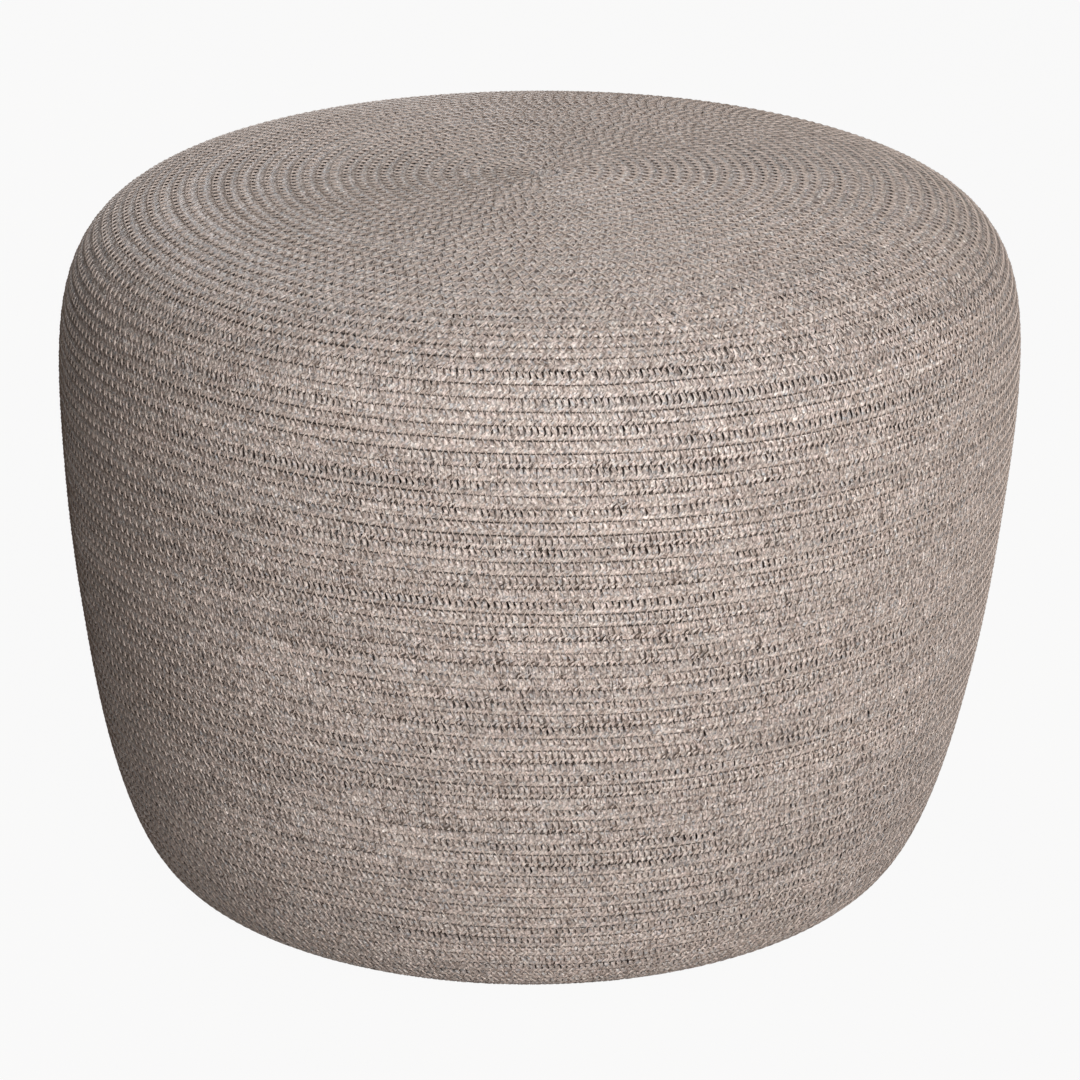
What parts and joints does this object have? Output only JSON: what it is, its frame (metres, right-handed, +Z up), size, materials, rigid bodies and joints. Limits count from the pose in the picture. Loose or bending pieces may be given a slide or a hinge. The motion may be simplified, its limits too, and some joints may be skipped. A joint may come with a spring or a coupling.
{
  "type": "outdoor ottoman footstool",
  "caption": "Round barrel-shaped outdoor footstool with a spiral-sewn cord cover over foam and an aluminium frame, on low plastic glides.",
  "frame": {"origin": "on the floor under the middle of the stool", "axes": "+Z up through the middle of the seat; -Y faces the viewer of the picture, +X to the right"},
  "size_m": [0.6, 0.6, 0.445],
  "materials": {
    "cord": "braided melange taupe outdoor cord, sewn turn to turn",
    "foam": "open-cell quick-dry foam",
    "board": "matt compact laminate",
    "aluminium": "mill finish",
    "steel": "stainless, turned",
    "nylon": "moulded black"
  },
  "bodies": {
    "root": {"cord_cover": "cord", "seat_pad": "foam", "wall_pad": "foam", "seat_deck": "board", "top_ring": "aluminium", "lower_hoop": "aluminium", "upper_hoop": "aluminium", "base_flange": "aluminium", "base_plate": "board", "frame_rib_1": "aluminium", "frame_rib_2": "aluminium", "frame_rib_3": "aluminium", "frame_rib_4": "aluminium", "frame_rib_5": "aluminium", "frame_rib_6": "aluminium", "glide_1": "nylon", "glide_2": "nylon", "glide_3": "nylon", "glide_4": "nylon", "glide_5": "nylon", "glide_6": "nylon", "deck_screw_1": "steel", "deck_screw_2": "steel", "deck_screw_3": "steel", "deck_screw_4": "steel", "deck_screw_5": "steel", "deck_screw_6": "steel", "base_screw_1": "steel", "base_screw_2": "steel", "base_screw_3": "steel", "base_screw_4": "steel", "base_screw_5": "steel", "base_screw_6": "steel", "glide_screw_1": "steel", "glide_screw_2": "steel", "glide_screw_3": "steel", "glide_screw_4": "steel", "glide_screw_5": "steel", "glide_screw_6": "steel"}
  },
  "joints": []
}
